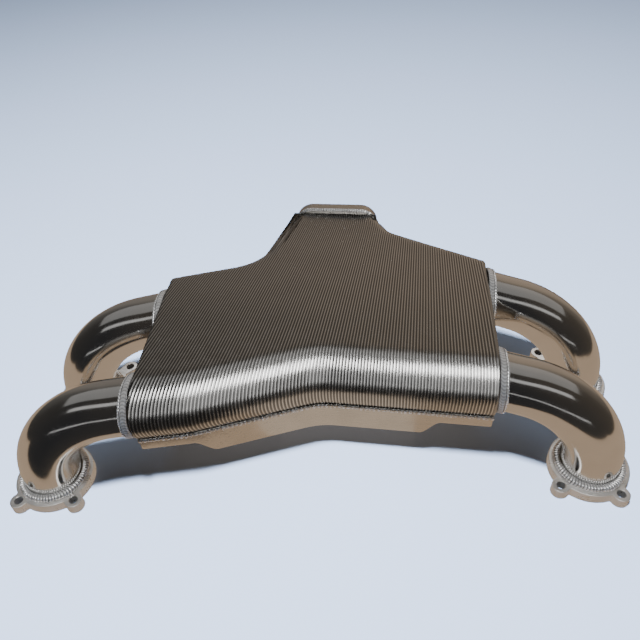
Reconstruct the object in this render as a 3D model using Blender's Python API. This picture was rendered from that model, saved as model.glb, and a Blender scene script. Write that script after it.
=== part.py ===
"""Welded intake manifold for a flat-four engine, in metres, +Z up.

A two-part machined plenum lies across the engine. Two tube runners leave each end, bend down and end in
port flanges on the cylinder heads. The rear of the plenum narrows to a neck with the throttle flange.
While it is modelled, X runs across the engine, Y runs to the rear, Z = 0 is the port flanges' lower face
and Y = 0 is the mean of the port centres. The last step moves the object to the middle of its box's base.
"""

import math

import bmesh
import bpy
from mathutils import Matrix, Vector

MM = 0.001
GAP = 0.3 * MM                   # clearance between touching pieces
CHAMFER = 1 * MM                 # on the machined edges of the flanges
CUT_MARGIN = 5 * MM              # cutters of through holes reach this far past both faces

# Engine interface
PORT_X = 272.5 * MM              # port centre to the middle plane
PORT_SPACING = 113 * MM          # between the two ports of a bank
BANK_STAGGER = 56.5 * MM         # the left bank sits this far ahead of the right one
FLANGE_THICKNESS = 11 * MM
FLANGE_RADIUS = 39 * MM
LUG_RADIUS = 8.7 * MM
LUG_HOLE_RADIUS = 4.3 * MM
# Lug holes of the front (-1) and rear (+1) ports from the port centre, as (outward, rearward)
LUGS = {
    -1: [(24.1 * MM, -33.9 * MM), (-31.6 * MM, -28.5 * MM)],
    1: [(-27.7 * MM, 42.8 * MM), (28 * MM, 40 * MM)],
}

# Runner tube: 2 1/4 inch outside diameter, 3 inch bend radius
TUBE_RADIUS = 28.575 * MM
TUBE_WALL = 3 * MM
BEND_RADIUS = 76.2 * MM
RUNNER_HEIGHT = 97.5 * MM        # tube axis above the flange face where it enters the plenum
TUBE_SIDES = 20
BEND_STEPS = 8
# Runner: side of the engine (-1 left), row (-1 front, +1 rear), plan angle rearward in degrees
RUNNERS = {
    "front_left": (-1, -1, 15.2),
    "rear_left": (-1, 1, 22.6),
    "front_right": (1, -1, 15.6),
    "rear_right": (1, 1, 21.7),
}
COLLAR_RADIUS = 31.5 * MM
COLLAR_LENGTH = 5.7 * MM
COLLAR_CLEAR = 0.8               # the side seam's bead stops this share of a collar radius from its axis
WELD_RIDGE = 2.4 * MM            # height and length of the ridge between collar and tube
FLANGE_WELD_WIDTH = 5.8 * MM
FLANGE_WELD_HEIGHT = 7 * MM

# Plenum
# Plan lines of the flat side walls, left (-1) and right (+1), as front and rear points in millimetres
WALL_LINES = {-1: [(-169.5, -88), (-178.5, 115)], 1: [(171, -33), (171, 171.5)]}
WALL = 4 * MM
SEAM_Z = 70 * MM                 # plane where the two halves meet
TOP_FRONT = 129.5 * MM
TOP_NECK = 115 * MM
TOP_FALL_START = 40 * MM         # the top is level up to here and then falls to the neck
NECK_END_Y = 258 * MM
BOTTOM_WING = 50 * MM
BOTTOM_CENTRE = 32 * MM
BOTTOM_STEPS = [(-122 * MM, -100 * MM), (101 * MM, 122 * MM)]   # X ranges where the floor steps down and up
FRONT_ROUND = 36 * MM            # bullnose along the front
REAR_ROUND = 18 * MM
SIDE_ROUND = 5 * MM
LOWER_ROUND = 6 * MM             # along the lower half's bottom edge
RUNNER_HOLE_REACH = 25 * MM      # cutters of the runner holes reach this far to both sides of the wall
# Plan corners with their rounding radius, from left to right; the widest contour of the upper half
FRONT_CORNERS = [(-175, -88, 0), (-118, -75, 90), (1, -28, 70), (171, -33, 0)]
REAR_CORNERS = [(-175, 115, 0), (-89, 150, 55), (-70, 258, 0), (52, 258, 0), (62, 231, 26), (171, 171.5, 0)]
COLUMN_RUNS = [(-175, -124, 3), (-124, -92, 6), (-92, -70, 5), (-70, 52, 7), (52, 63, 3), (63, 101, 4),
               (101, 122, 3), (122, 171, 3)]
CAP_ROWS = 6

# Throttle flange
THROTTLE_X = -8 * MM
THROTTLE_Z = 73.5 * MM
THROTTLE_WIDTH = 104 * MM
THROTTLE_HEIGHT = 90 * MM
THROTTLE_CORNER = 22 * MM
THROTTLE_DEPTH = 18 * MM
THROTTLE_BORE = 35 * MM
THROTTLE_HOLE = (42 * MM, 35 * MM)   # bolt hole offsets from the bore's centre
THROTTLE_HOLE_RADIUS = 2.5 * MM
THROTTLE_HOLE_DEPTH = 12 * MM
THROTTLE_WELD = 4 * MM
PASSAGE = (94 * MM, 70 * MM, 30 * MM)   # width, height and corner radius of the opening through the neck's end
PASSAGE_REACH = (14 * MM, 9 * MM)       # how far its cutter reaches inside and outside that end


def clear_scene():
    for item in list(bpy.data.objects):
        bpy.data.objects.remove(item, do_unlink=True)


def material(name, colour, roughness):
    made = bpy.data.materials.new(name)
    made.use_nodes = True
    shader = made.node_tree.nodes["Principled BSDF"]
    shader.inputs["Base Color"].default_value = (*colour, 1)
    shader.inputs["Metallic"].default_value = 1
    shader.inputs["Roughness"].default_value = roughness
    return made


def new_object(name, bm, finish, smooth_angle=35):
    """Turns a bmesh into a named object with outward faces and smooth round surfaces."""
    bmesh.ops.remove_doubles(bm, verts=bm.verts, dist=1e-7)
    bmesh.ops.recalc_face_normals(bm, faces=bm.faces)
    mesh = bpy.data.meshes.new(name)
    bm.to_mesh(mesh)
    bm.free()
    mesh.shade_smooth()
    mesh.set_sharp_from_angle(angle=math.radians(smooth_angle))
    made = bpy.data.objects.new(name, mesh)
    bpy.context.scene.collection.objects.link(made)
    if finish:
        mesh.materials.append(finish)
    return made


def add_ring(bm, points):
    return [bm.verts.new(point) for point in points]


def join_rings(bm, first, second, closed=True):
    count = len(first)
    for i in range(count if closed else count - 1):
        j = (i + 1) % count
        bm.faces.new((first[i], first[j], second[j], second[i]))


def loft(rings, endless=False):
    """A closed body through rings of equal length: endless joins last to first, otherwise the ends are capped."""
    bm = bmesh.new()
    made = [add_ring(bm, ring) for ring in rings]
    for first, second in zip(made, made[1:]):
        join_rings(bm, first, second)
    if endless:
        join_rings(bm, made[-1], made[0])
    else:
        bm.faces.new(made[0])
        bm.faces.new(made[-1])
    return bm


def cut(target, cutter_name, bm):
    """Subtracts a shape from the target with an EXACT boolean."""
    cutter = new_object(cutter_name, bm, None)
    cutter.hide_render = True
    cutter.display_type = "WIRE"
    modifier = target.modifiers.new(cutter_name, "BOOLEAN")
    modifier.operation = "DIFFERENCE"
    modifier.object = cutter


def cylinder(start, end, radius, sides):
    """A closed cylinder between two points."""
    axis = (end - start).normalized()
    side = axis.orthogonal().normalized()
    up = axis.cross(side)
    turns = [2 * math.pi * i / sides for i in range(sides)]
    spokes = [side * math.cos(a) + up * math.sin(a) for a in turns]
    return loft([[start + s * radius for s in spokes], [end + s * radius for s in spokes]])


def rounded_path(corners):
    """Plan points in metres along straight runs joined by arcs. Each corner is (x, y, radius) in millimetres."""
    points = []
    for i, (x, y, radius) in enumerate(corners):
        corner = Vector((x, y)) * MM
        if radius == 0:
            points.append(corner)
            continue
        before = (Vector(corners[i - 1][:2]) * MM - corner).normalized()
        after = (Vector(corners[i + 1][:2]) * MM - corner).normalized()
        half = before.angle(after) / 2
        reach = radius * MM / math.tan(half)
        centre = corner + (before + after).normalized() * (radius * MM / math.sin(half))
        start = corner + before * reach - centre
        turn = start.angle_signed(corner + after * reach - centre)
        steps = 12
        for k in range(steps + 1):
            points.append(centre + Matrix.Rotation(-turn * k / steps, 2) @ start)
    return points


def height_at(path, x):
    """The path's Y at one X; the path runs from left to right."""
    for a, b in zip(path, path[1:]):
        if a.x - 1e-9 <= x <= b.x + 1e-9 and b.x > a.x:
            return a.y + (b.y - a.y) * (x - a.x) / (b.x - a.x)
    return path[-1].y if x > path[-1].x else path[0].y


def smooth_step(low, high, value):
    t = min(max((value - low) / (high - low), 0), 1)
    return t * t * (3 - 2 * t)


def top_height(y):
    return TOP_FRONT + (TOP_NECK - TOP_FRONT) * smooth_step(TOP_FALL_START, NECK_END_Y, y)


def bottom_height(x):
    (down_start, down_end), (up_start, up_end) = BOTTOM_STEPS
    depth = smooth_step(down_start, down_end, x) * (1 - smooth_step(up_start, up_end, x))
    return BOTTOM_WING + (BOTTOM_CENTRE - BOTTOM_WING) * depth


def round_inset(below, radius):
    """How far a quarter-round edge has drawn in at a level this far below its crown."""
    if below >= radius:
        return 0
    return radius - math.sqrt(max(radius ** 2 - (radius - below) ** 2, 0))


def bullnose_inset(below, radius):
    """Inset of the front bullnose, a circle that carries on past its widest level down to the seam."""
    return radius - math.sqrt(max(radius ** 2 - (radius - below) ** 2, 0))


def wall_plane(side):
    """A point on a side wall's plan line, and the wall's outward normal."""
    start, end = (Vector(point) * MM for point in WALL_LINES[side])
    along = (end - start).normalized()
    return start, Vector((along.y, -along.x)) * side


def reach_wall(point, direction, side, out):
    """Moves a plan point along a direction until it is this far outside a side wall."""
    start, normal = wall_plane(side)
    return point + direction * ((out - (point - start).dot(normal)) / direction.dot(normal))


def wall_spot(side, y):
    """The plan point of a side wall at one Y."""
    start, end = (Vector(point) * MM for point in WALL_LINES[side])
    return start.lerp(end, (y - start.y) / (end.y - start.y))


def column_stations():
    """X of the columns shared by the front and rear chains, in metres."""
    stations = [COLUMN_RUNS[0][0] * MM]
    for start, end, count in COLUMN_RUNS:
        stations += [(start + (end - start) * k / count) * MM for k in range(1, count + 1)]
    return stations


class Plan:
    """The plenum's plan: front and rear chains on shared columns, with flat sides between them."""

    def __init__(self):
        front_path = rounded_path(FRONT_CORNERS)
        rear_path = rounded_path(REAR_CORNERS)
        columns = column_stations()
        self.front = [Vector((x, height_at(front_path, x))) for x in columns]
        self.rear = [Vector((x, height_at(rear_path, x))) for x in columns]
        self.neck_left = min(range(len(columns)), key=lambda i: abs(columns[i] - REAR_CORNERS[2][0] * MM))
        self.neck_right = min(range(len(columns)), key=lambda i: abs(columns[i] - REAR_CORNERS[3][0] * MM))

    @staticmethod
    def inward(chain, i, side, low, high):
        """Unit normal of a chain at point i, towards the inside; side is +1 on the front chain."""
        before = chain[max(i - 1, low)]
        after = chain[min(i + 1, high)]
        along = (after - before).normalized()
        return Vector((-along.y, along.x)) * side

    def ring(self, inset, side_inset, end_inset):
        """Points of the plan drawn in by inset(point, is_front), walls by side_inset and the neck's end."""
        last = len(self.front) - 1
        front = []
        for i, point in enumerate(self.front):
            front.append(point + self.inward(self.front, i, 1, 0, last) * inset(point, True))
        rear = []
        for i, point in enumerate(self.rear):
            if self.neck_left < i < self.neck_right:
                rear.append(point.copy())
                continue
            low, high = (0, self.neck_left) if i <= self.neck_left else (self.neck_right, last)
            rear.append(point + self.inward(self.rear, i, -1, low, high) * inset(point, False))
        for chain, base in ((front, self.front), (rear, self.rear)):
            chain[0] = reach_wall(chain[1], chain[0] - chain[1], -1, -side_inset(base[0]))
            chain[last] = reach_wall(chain[last - 1], chain[last] - chain[last - 1], 1, -side_inset(base[last]))
        end_y = NECK_END_Y - end_inset
        for i, beside in ((self.neck_left, self.neck_left - 1), (self.neck_right, self.neck_right + 1)):
            slope = (rear[i] - rear[beside])
            rear[i] = rear[beside] + slope * ((end_y - rear[beside].y) / slope.y)
        span = self.neck_right - self.neck_left
        for i in range(self.neck_left + 1, self.neck_right):
            rear[i] = rear[self.neck_left].lerp(rear[self.neck_right], (i - self.neck_left) / span)
        right = [front[-1].lerp(rear[-1], k / CAP_ROWS) for k in range(1, CAP_ROWS)]
        left = [rear[0].lerp(front[0], k / CAP_ROWS) for k in range(1, CAP_ROWS)]
        return front + right + rear[::-1] + left


def add_cap(bm, ring, columns, height):
    """Closes a ring with a grid of quads from its front chain to its rear chain."""
    rows = [ring[:columns]]
    rear = ring[columns + CAP_ROWS - 1:2 * columns + CAP_ROWS - 1][::-1]
    right = ring[columns:columns + CAP_ROWS - 1]
    left = ring[2 * columns + CAP_ROWS - 1:][::-1]
    for k in range(1, CAP_ROWS):
        row = [left[k - 1]]
        for i in range(1, columns - 1):
            place = rows[0][i].co.lerp(rear[i].co, k / CAP_ROWS)
            place.z = height(place)
            row.append(bm.verts.new(place))
        rows.append(row + [right[k - 1]])
    rows.append(rear)
    for low, high in zip(rows, rows[1:]):
        join_rings(bm, low, high, closed=False)


def shell_skin(bm, plan, levels, height):
    """One skin of a shell: rings from the seam to the crown, and the cap. Returns the ring at the seam."""
    rings = [add_ring(bm, level) for level in levels]
    for first, second in zip(rings, rings[1:]):
        join_rings(bm, first, second)
    add_cap(bm, rings[-1], len(plan.front), height)
    return rings[0]


def upper_level(plan, thickness, wall_share=None, angle=None):
    """One contour of the upper half's skin, given by its share of the wall below the bullnose's widest level,
    or by the angle above that level in degrees. thickness is 0 outside and WALL inside."""
    nose = FRONT_ROUND - thickness
    seam = SEAM_Z + GAP / 2

    def level_z(y):
        crown = top_height(y) - thickness
        if angle is not None:
            return crown - nose * (1 - math.sin(math.radians(angle)))
        return seam + (crown - nose - seam) * wall_share

    def inset(point, is_front):
        below = top_height(point.y) - thickness - level_z(point.y)
        if is_front:
            return thickness + bullnose_inset(below, nose)
        return thickness + round_inset(below, REAR_ROUND - thickness)

    def side_inset(point):
        below = top_height(point.y) - thickness - level_z(point.y)
        return thickness + round_inset(below, max(SIDE_ROUND - thickness, GAP))

    return [Vector((p.x, p.y, level_z(p.y))) for p in plan.ring(inset, side_inset, thickness)]


def lower_level(plan, thickness, share=None, angle=None):
    """One contour of the lower half's skin: a share of the wall below the seam, or an angle into its edge."""
    edge = LOWER_ROUND - thickness / 2
    seam = SEAM_Z - GAP / 2
    seam_inset = bullnose_inset(TOP_FRONT - SEAM_Z, FRONT_ROUND)

    def level_z(x):
        floor = bottom_height(x) + thickness
        if angle is not None:
            return floor + edge * (1 - math.sin(math.radians(angle)))
        return seam + (floor + edge - seam) * share

    bend = 0 if angle is None else edge * (1 - math.cos(math.radians(angle)))

    def inset(point, is_front):
        return thickness + bend + (seam_inset if is_front else 0)

    def side_inset(point):
        return thickness + bend

    return [Vector((p.x, p.y, level_z(p.x))) for p in plan.ring(inset, side_inset, thickness)]


def plenum_shell(name, finish, plan, outer, inner, outer_height, inner_height):
    """A shell from its outer and inner skins, joined by the flat land at the seam."""
    bm = bmesh.new()
    outside = shell_skin(bm, plan, outer, outer_height)
    inside = shell_skin(bm, plan, inner, inner_height)
    join_rings(bm, outside, inside)
    return new_object(name, bm, finish)


def upper_shell(plan, finish):
    outer = [upper_level(plan, 0, wall_share=share) for share in (0, 0.5)]
    outer += [upper_level(plan, 0, angle=a) for a in (0, 18, 36, 52, 66, 78, 90)]
    inner = [upper_level(plan, WALL, wall_share=0)]
    inner += [upper_level(plan, WALL, angle=a) for a in (0, 30, 60, 90)]
    shell = plenum_shell("plenum_upper_shell", finish, plan, outer, inner,
                         lambda p: top_height(p.y), lambda p: top_height(p.y) - WALL)
    for runner, (side, row, angle) in RUNNERS.items():
        direction = runner_direction(side, angle)
        entry = runner_entry(side, row, angle)
        reach = direction * RUNNER_HOLE_REACH
        cut(shell, "hole_" + runner, cylinder(entry - reach, entry + reach, TUBE_RADIUS - TUBE_WALL, TUBE_SIDES))
    cut(shell, "passage_upper", neck_passage())
    return shell


def lower_shell(plan, finish):
    outer = [lower_level(plan, 0, share=share) for share in (0, 1)]
    outer += [lower_level(plan, 0, angle=a) for a in (30, 60, 90)]
    inner = [lower_level(plan, WALL, share=share) for share in (0, 1)]
    inner += [lower_level(plan, WALL, angle=a) for a in (45, 90)]
    shell = plenum_shell("plenum_lower_shell", finish, plan, outer, inner,
                         lambda p: bottom_height(p.x), lambda p: bottom_height(p.x) + WALL)
    cut(shell, "passage_lower", neck_passage())
    return shell


def rounded_rectangle(width, height, corner, steps=4):
    """Points of a rounded rectangle around the throttle's axis, as (x, z)."""
    points = []
    for quarter, (sx, sz) in enumerate(((1, 1), (-1, 1), (-1, -1), (1, -1))):
        centre = (THROTTLE_X + sx * (width / 2 - corner), THROTTLE_Z + sz * (height / 2 - corner))
        for k in range(steps + 1):
            angle = math.radians(90 * (quarter + k / steps))
            points.append((centre[0] + corner * math.cos(angle), centre[1] + corner * math.sin(angle)))
    return points


def neck_passage():
    outline = rounded_rectangle(*PASSAGE)
    start = NECK_END_Y - PASSAGE_REACH[0]
    end = NECK_END_Y + PASSAGE_REACH[1]
    return loft([[Vector((x, y, z)) for x, z in outline] for y in (start, end)])


def port_centre(side, row):
    return Vector((side * PORT_X, row * PORT_SPACING / 2 + side * BANK_STAGGER / 2, 0))


def runner_direction(side, angle):
    """Horizontal direction of a runner as it goes into the plenum."""
    turn = math.radians(angle)
    return Vector((-side * math.cos(turn), math.sin(turn), 0))


def runner_entry(side, row, angle):
    """Where a runner's axis meets the plenum's side wall."""
    direction = runner_direction(side, angle)
    start = port_centre(side, row) + direction * BEND_RADIUS
    plan = reach_wall(start.xy, direction.xy, side, 0)
    return Vector((plan.x, plan.y, RUNNER_HEIGHT))


def tube_ring(centre, normal, across, radius):
    """A ring of points around the tube's axis; across is horizontal, in the ring's plane."""
    up = across.cross(normal)
    turns = [2 * math.pi * k / TUBE_SIDES for k in range(TUBE_SIDES)]
    return [centre + (across * math.cos(a) + up * math.sin(a)) * radius for a in turns]


def slide_to_wall(points, direction, side, out):
    """Slides a ring's points along the tube until they are this far outside the side wall."""
    moved = []
    for point in points:
        plan = reach_wall(point.xy, direction.xy, side, out)
        moved.append(Vector((plan.x, plan.y, point.z)))
    return moved


def runner_rings(side, row, angle, radius):
    """Rings of a runner's surface from the port flange to the plenum wall."""
    direction = runner_direction(side, angle)
    across = Vector((0, 0, 1)).cross(direction)
    base = port_centre(side, row)
    leg_top = RUNNER_HEIGHT - BEND_RADIUS
    rings = [tube_ring(base + Vector((0, 0, FLANGE_THICKNESS + GAP)), Vector((0, 0, 1)), across, radius)]
    for k in range(BEND_STEPS + 1):
        turn = math.pi / 2 * k / BEND_STEPS
        centre = base + direction * BEND_RADIUS * (1 - math.cos(turn))
        centre.z = leg_top + BEND_RADIUS * math.sin(turn)
        normal = Vector((0, 0, math.cos(turn))) + direction * math.sin(turn)
        rings.append(tube_ring(centre, normal, across, radius))
    rings.append(slide_to_wall(rings[-1], direction, side, GAP))
    return rings


def runner(name, side, row, angle, finish):
    outer = runner_rings(side, row, angle, TUBE_RADIUS)
    inner = runner_rings(side, row, angle, TUBE_RADIUS - TUBE_WALL)
    return new_object(name, loft(outer + inner[::-1], endless=True), finish)


def runner_collar(name, side, row, angle, finish):
    """The land around a runner on the plenum's side wall; its ends are parallel to the wall."""
    direction = runner_direction(side, angle)
    across = Vector((0, 0, 1)).cross(direction)
    entry = runner_entry(side, row, angle)
    bore = TUBE_RADIUS + GAP
    profile = [(bore, GAP), (COLLAR_RADIUS, GAP), (COLLAR_RADIUS, COLLAR_LENGTH), (bore, COLLAR_LENGTH)]
    rings = [slide_to_wall(tube_ring(entry, direction, across, r), direction, side, out) for r, out in profile]
    return new_object(name, loft(rings, endless=True), finish)


def runner_weld(name, side, row, angle, finish):
    """The weld ridge in the corner between the collar's outer face and the tube."""
    direction = runner_direction(side, angle)
    across = Vector((0, 0, 1)).cross(direction)
    entry = runner_entry(side, row, angle)
    near = COLLAR_LENGTH + GAP
    bore = TUBE_RADIUS + GAP
    profile = [(bore, 0), (bore + WELD_RIDGE, 0), (bore + WELD_RIDGE * 0.8, WELD_RIDGE * 0.7), (bore, WELD_RIDGE)]
    rings = []
    for radius, out in profile:
        rings.append(slide_to_wall(tube_ring(entry, direction, across, radius), direction, side, near + out))
    return new_object(name, loft(rings, endless=True), finish)


def flange_weld(name, side, row, finish):
    """The fillet weld around a runner's foot on its port flange."""
    base = port_centre(side, row) + Vector((0, 0, FLANGE_THICKNESS + GAP))
    bore = TUBE_RADIUS + GAP
    width = FLANGE_WELD_WIDTH
    profile = [(bore, 0), (bore + width, 0), (bore + width * 0.85, FLANGE_WELD_HEIGHT * 0.35),
               (bore + width * 0.4, FLANGE_WELD_HEIGHT * 0.8), (bore, FLANGE_WELD_HEIGHT)]
    up = Vector((0, 0, 1))
    rings = [tube_ring(base + up * height, up, Vector((1, 0, 0)), radius) for radius, height in profile]
    return new_object(name, loft(rings, endless=True), finish)


def flange_outline(row):
    """A port flange's outline around the port, as (angle, radius), with a few more points over each lug."""
    lugs = [(math.atan2(v, u), math.hypot(u, v)) for u, v in LUGS[row]]
    angles = [math.radians(15 * k) for k in range(24)]
    for direction, distance in lugs:
        reach = math.asin(LUG_RADIUS / distance)
        angles = [a for a in angles if abs(math.remainder(a - direction, math.tau)) > reach * 1.35]
        angles += [direction + reach * share for share in (-1.25, -0.94, -0.6, -0.25, 0.25, 0.6, 0.94, 1.25)]
    outline = []
    for angle in sorted(a % math.tau for a in angles):
        radius = FLANGE_RADIUS
        for direction, distance in lugs:
            across = distance * math.sin(angle - direction)
            if abs(across) < LUG_RADIUS and math.cos(angle - direction) > 0:
                along = distance * math.cos(angle - direction)
                radius = max(radius, along + math.sqrt(LUG_RADIUS ** 2 - across ** 2))
        outline.append((angle, radius))
    return outline


def port_flange(name, side, row, finish):
    """A lugged plate with the port's bore and clearance holes for the head's studs."""
    centre = port_centre(side, row)
    outline = flange_outline(row)
    bore = TUBE_RADIUS - TUBE_WALL

    def plate_ring(z, radius=None, inset=0):
        points = []
        for angle, reach in outline:
            r = radius or reach - inset
            points.append(centre + Vector((side * math.cos(angle) * r, math.sin(angle) * r, z)))
        return points

    rings = [plate_ring(0, bore), plate_ring(0), plate_ring(FLANGE_THICKNESS - CHAMFER),
             plate_ring(FLANGE_THICKNESS, inset=CHAMFER), plate_ring(FLANGE_THICKNESS, bore)]
    plate = new_object(name, loft(rings, endless=True), finish)
    for k, (u, v) in enumerate(LUGS[row]):
        foot = centre + Vector((side * u, v, -CUT_MARGIN))
        head = foot + Vector((0, 0, FLANGE_THICKNESS + 2 * CUT_MARGIN))
        cut(plate, f"{name}_stud_hole_{k}", cylinder(foot, head, LUG_HOLE_RADIUS, 12))
    return plate


def throttle_flange(finish):
    """A rounded plate with the throttle's bore and four threaded holes, faced square to Y."""
    outline = rounded_rectangle(THROTTLE_WIDTH, THROTTLE_HEIGHT, THROTTLE_CORNER)
    front = NECK_END_Y + GAP
    back = front + THROTTLE_DEPTH
    smaller = rounded_rectangle(THROTTLE_WIDTH - 2 * CHAMFER, THROTTLE_HEIGHT - 2 * CHAMFER,
                                THROTTLE_CORNER - CHAMFER)
    rings = [[Vector((x, front, z)) for x, z in outline],
             [Vector((x, back - CHAMFER, z)) for x, z in outline],
             [Vector((x, back, z)) for x, z in smaller]]
    plate = new_object("throttle_flange", loft(rings), finish)
    axis_start = Vector((THROTTLE_X, front - CUT_MARGIN, THROTTLE_Z))
    along = Vector((0, THROTTLE_DEPTH + 2 * CUT_MARGIN, 0))
    cut(plate, "throttle_bore", cylinder(axis_start, axis_start + along, THROTTLE_BORE, 32))
    for k, (sx, sz) in enumerate(((1, 1), (-1, 1), (-1, -1), (1, -1))):
        floor_y = back - THROTTLE_HOLE_DEPTH
        start = Vector((THROTTLE_X + sx * THROTTLE_HOLE[0], floor_y, THROTTLE_Z + sz * THROTTLE_HOLE[1]))
        cut(plate, f"throttle_bolt_hole_{k}", cylinder(start, start + along, THROTTLE_HOLE_RADIUS, 8))
    return plate


def throttle_weld(finish):
    """The bead around the throttle flange, in its corner with the neck's end."""
    front = NECK_END_Y + GAP
    bead = THROTTLE_WELD
    profile = [(GAP, 0), (bead, 0), (bead * 0.75, bead * 0.7), (GAP, bead)]
    rings = []
    for out, along in profile:
        outline = rounded_rectangle(THROTTLE_WIDTH + 2 * out, THROTTLE_HEIGHT + 2 * out, THROTTLE_CORNER + out)
        rings.append([Vector((x, front + along, z)) for x, z in outline])
    return new_object("throttle_flange_weld", loft(rings, endless=True), finish)


def seam_run(name, path, profile, finish):
    """A weld bead along the seam: path holds (point, outward) in plan, profile (outward, up) offsets."""
    rings = []
    for point, outward in path:
        rings.append([Vector((point.x + outward.x * out, point.y + outward.y * out, SEAM_Z + up))
                      for out, up in profile])
    return new_object(name, loft(rings), finish)


def seam_welds(plan, finish):
    """Beads along the front, both sides and both rear edges of the seam."""
    seam_inset = bullnose_inset(TOP_FRONT - SEAM_Z, FRONT_ROUND)
    last = len(plan.front) - 1
    front = []
    for i, point in enumerate(plan.front):
        inward = plan.inward(plan.front, i, 1, 0, last)
        front.append((point + inward * seam_inset, -inward))
    for i, beside, side in ((0, 1, -1), (last, last - 1, 1)):
        slope = front[i][0] - front[beside][0]
        front[i] = (reach_wall(front[beside][0], slope, side, 0), front[i][1])
    vee = [(GAP, -3.4 * MM), (2.4 * MM, -3 * MM), (3.9 * MM, -1.4 * MM), (4.2 * MM, 0.9 * MM),
           (3.4 * MM, 2.2 * MM), (GAP, -0.9 * MM)]
    flat = [(GAP, -2.6 * MM), (1.5 * MM, -2.2 * MM), (2.2 * MM, 0), (1.5 * MM, 2.2 * MM), (GAP, 2.6 * MM)]
    seam_run("seam_weld_front", front, vee, finish)
    for name, side, wall in (("seam_weld_left", -1, "left"), ("seam_weld_right", 1, "right")):
        start = runner_entry(*RUNNERS["front_" + wall]).y + COLLAR_RADIUS * COLLAR_CLEAR
        end = runner_entry(*RUNNERS["rear_" + wall]).y - COLLAR_RADIUS * COLLAR_CLEAR
        outward = wall_plane(side)[1]
        seam_run(name, [(wall_spot(side, y), outward) for y in (start, end)], flat, finish)
    runs = {"seam_weld_rear_left": (0, plan.neck_left), "seam_weld_rear_right": (plan.neck_right, last)}
    for name, (low, high) in runs.items():
        path = []
        for i in range(low, high + 1):
            inward = plan.inward(plan.rear, i, -1, low, high)
            path.append((plan.rear[i], -inward))
        seam_run(name, path, flat, finish)


def centre_on_base(objects):
    """Moves every mesh so that the middle of the whole box's base is the origin."""
    bpy.context.view_layer.update()
    shown = [item for item in objects if not item.hide_render]
    points = [item.matrix_world @ vertex.co for item in shown for vertex in item.data.vertices]
    low = Vector([min(point[k] for point in points) for k in range(3)])
    high = Vector([max(point[k] for point in points) for k in range(3)])
    shift = Vector(((low.x + high.x) / 2, (low.y + high.y) / 2, low.z))
    for item in objects:
        item.location -= shift


def build():
    clear_scene()
    cast = material("machined_aluminium", (0.42, 0.40, 0.37), 0.32)
    smooth = material("smooth_aluminium", (0.55, 0.50, 0.44), 0.28)
    polished = material("polished_aluminium", (0.62, 0.61, 0.59), 0.1)
    weld = material("weld_bead", (0.66, 0.66, 0.66), 0.35)
    plan = Plan()
    upper_shell(plan, cast)
    lower_shell(plan, smooth)
    for place, (side, row, angle) in RUNNERS.items():
        runner("runner_" + place, side, row, angle, polished)
        runner_collar("runner_collar_" + place, side, row, angle, weld)
        runner_weld("runner_weld_" + place, side, row, angle, weld)
        port_flange("port_flange_" + place, side, row, smooth)
        flange_weld("flange_weld_" + place, side, row, weld)
    throttle_flange(smooth)
    throttle_weld(weld)
    seam_welds(plan, weld)
    centre_on_base(list(bpy.data.objects))


build()
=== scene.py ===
"""The looks of a welded aluminium intake manifold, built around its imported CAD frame.

Shapes are worked out in millimetres in the part's design frame: X across the engine, Y to the rear from the
mean of the ports, Z up from the port flanges' lower face. to_object moves them into the frame's metres.
"""
import math

import bmesh
import bpy
import numpy as np
from mathutils import Matrix, Vector


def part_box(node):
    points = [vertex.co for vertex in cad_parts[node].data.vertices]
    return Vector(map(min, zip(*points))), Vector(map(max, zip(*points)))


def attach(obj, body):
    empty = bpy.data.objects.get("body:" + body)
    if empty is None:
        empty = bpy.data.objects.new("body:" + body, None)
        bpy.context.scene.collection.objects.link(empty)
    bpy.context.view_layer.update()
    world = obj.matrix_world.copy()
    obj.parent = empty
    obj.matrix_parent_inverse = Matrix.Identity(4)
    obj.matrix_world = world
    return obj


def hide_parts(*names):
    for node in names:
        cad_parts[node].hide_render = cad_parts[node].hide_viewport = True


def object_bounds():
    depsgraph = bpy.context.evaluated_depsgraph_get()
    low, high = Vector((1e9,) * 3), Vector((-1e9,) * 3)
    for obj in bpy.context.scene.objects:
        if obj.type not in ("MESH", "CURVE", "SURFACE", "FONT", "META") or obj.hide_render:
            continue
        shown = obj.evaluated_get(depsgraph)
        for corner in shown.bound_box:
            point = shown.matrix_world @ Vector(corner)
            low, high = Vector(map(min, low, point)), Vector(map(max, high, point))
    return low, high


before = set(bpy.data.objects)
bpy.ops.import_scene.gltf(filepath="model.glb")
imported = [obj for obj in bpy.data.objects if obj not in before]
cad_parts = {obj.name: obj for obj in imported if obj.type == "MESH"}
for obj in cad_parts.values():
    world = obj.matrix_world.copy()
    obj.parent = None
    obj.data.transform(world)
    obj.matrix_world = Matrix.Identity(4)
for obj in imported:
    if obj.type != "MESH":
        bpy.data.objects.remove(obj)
CAD_BOX = [list(corner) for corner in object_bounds()]

MM = 0.001
BODY = "root"
UP = Vector((0, 0, 1))
CREST = "crest"                  # the mesh attribute that tells a material where crests are, for painted highlights on them and painted shade between them
GAP = 0.3                        # clearance between touching pieces

# ---- dimensions shared with the CAD part
PORT_X = 272.5
PORT_SPACING = 113.0
BANK_STAGGER = 56.5
FLANGE_THICKNESS = 11.0
FLANGE_RADIUS = 39.0
LUG_RADIUS = 8.7
LUG_HOLE_RADIUS = 4.3
LUGS = {-1: [(24.1, -33.9), (-31.6, -28.5)], 1: [(-27.7, 42.8), (28.0, 40.0)]}
TUBE_RADIUS = 28.575
TUBE_WALL = 3.0
TUBE_BORE = TUBE_RADIUS - TUBE_WALL
BEND_RADIUS = 76.2
RUNNER_HEIGHT = 97.5
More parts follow.
